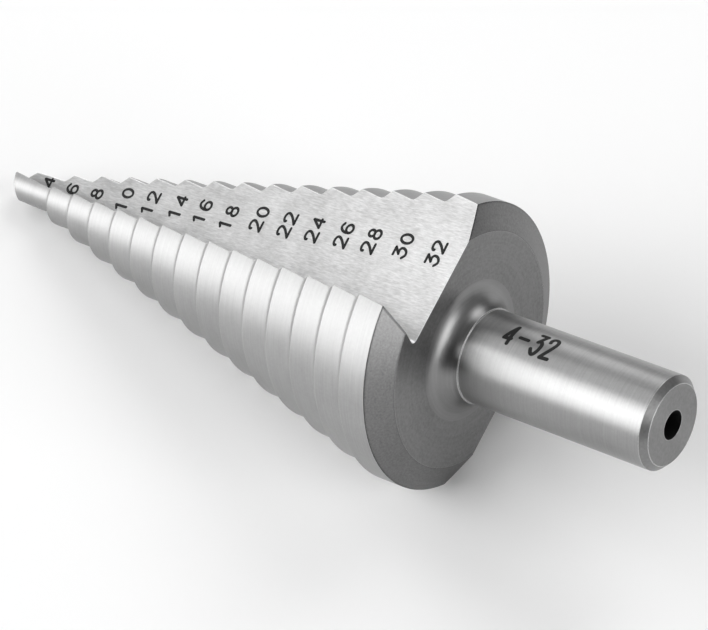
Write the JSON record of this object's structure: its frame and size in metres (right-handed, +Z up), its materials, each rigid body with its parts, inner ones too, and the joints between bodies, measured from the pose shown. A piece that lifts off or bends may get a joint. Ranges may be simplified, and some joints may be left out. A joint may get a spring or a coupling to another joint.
{
  "type": "step drill",
  "caption": "Straight-fluted step drill in ground steel: a stepped cone with two V-shaped flutes, a split point and a round straight shank.",
  "frame": {"origin": "centre of the bounding box's bottom, on the surface that the drill lies on", "axes": "+Z up; +X from the point towards the shank, level; the drill's own axis climbs by 11.07 degrees from +X towards +Z, in the XZ plane"},
  "size_m": [0.0884, 0.0316, 0.0273],
  "materials": {
    "ground_steel": "bright ground high-speed steel, finely brushed in the flutes"
  },
  "bodies": {
    "root": {"step_drill": "ground_steel"}
  },
  "joints": []
}
